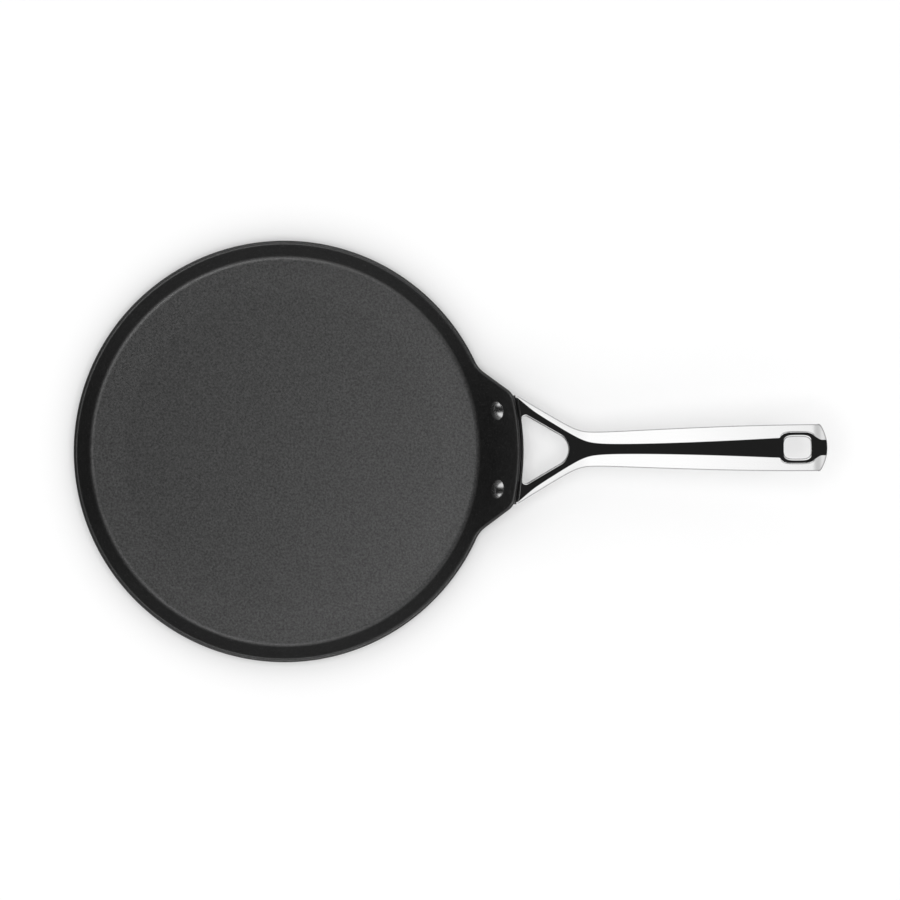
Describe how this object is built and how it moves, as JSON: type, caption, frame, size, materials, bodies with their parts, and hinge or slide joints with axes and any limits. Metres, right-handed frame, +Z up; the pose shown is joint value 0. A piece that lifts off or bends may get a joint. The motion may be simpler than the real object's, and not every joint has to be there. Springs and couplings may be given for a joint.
{
  "type": "crepe pan",
  "caption": "Shallow round crepe pan with a non-stick coating and a polished cast handle riveted to a raised ear.",
  "frame": {"origin": "centre of the base disc's underside, on the pan's axis, on the surface that the pan stands on", "axes": "+Z up along the pan's axis, +X from the pan's axis along the handle, +Y to the left of the handle as seen from above"},
  "size_m": [0.497, 0.28, 0.0717],
  "materials": {
    "coating": "forged aluminium under a dark grey, finely speckled, satin non-stick coating",
    "base_steel": "magnetic stainless steel, turned",
    "handle_steel": "cast stainless steel, polished to a mirror",
    "rivet_steel": "stainless steel, polished"
  },
  "bodies": {
    "root": {"pan_body": "coating", "base_disc": "base_steel", "handle": "handle_steel", "rivet_left": "rivet_steel", "rivet_right": "rivet_steel"}
  },
  "joints": []
}
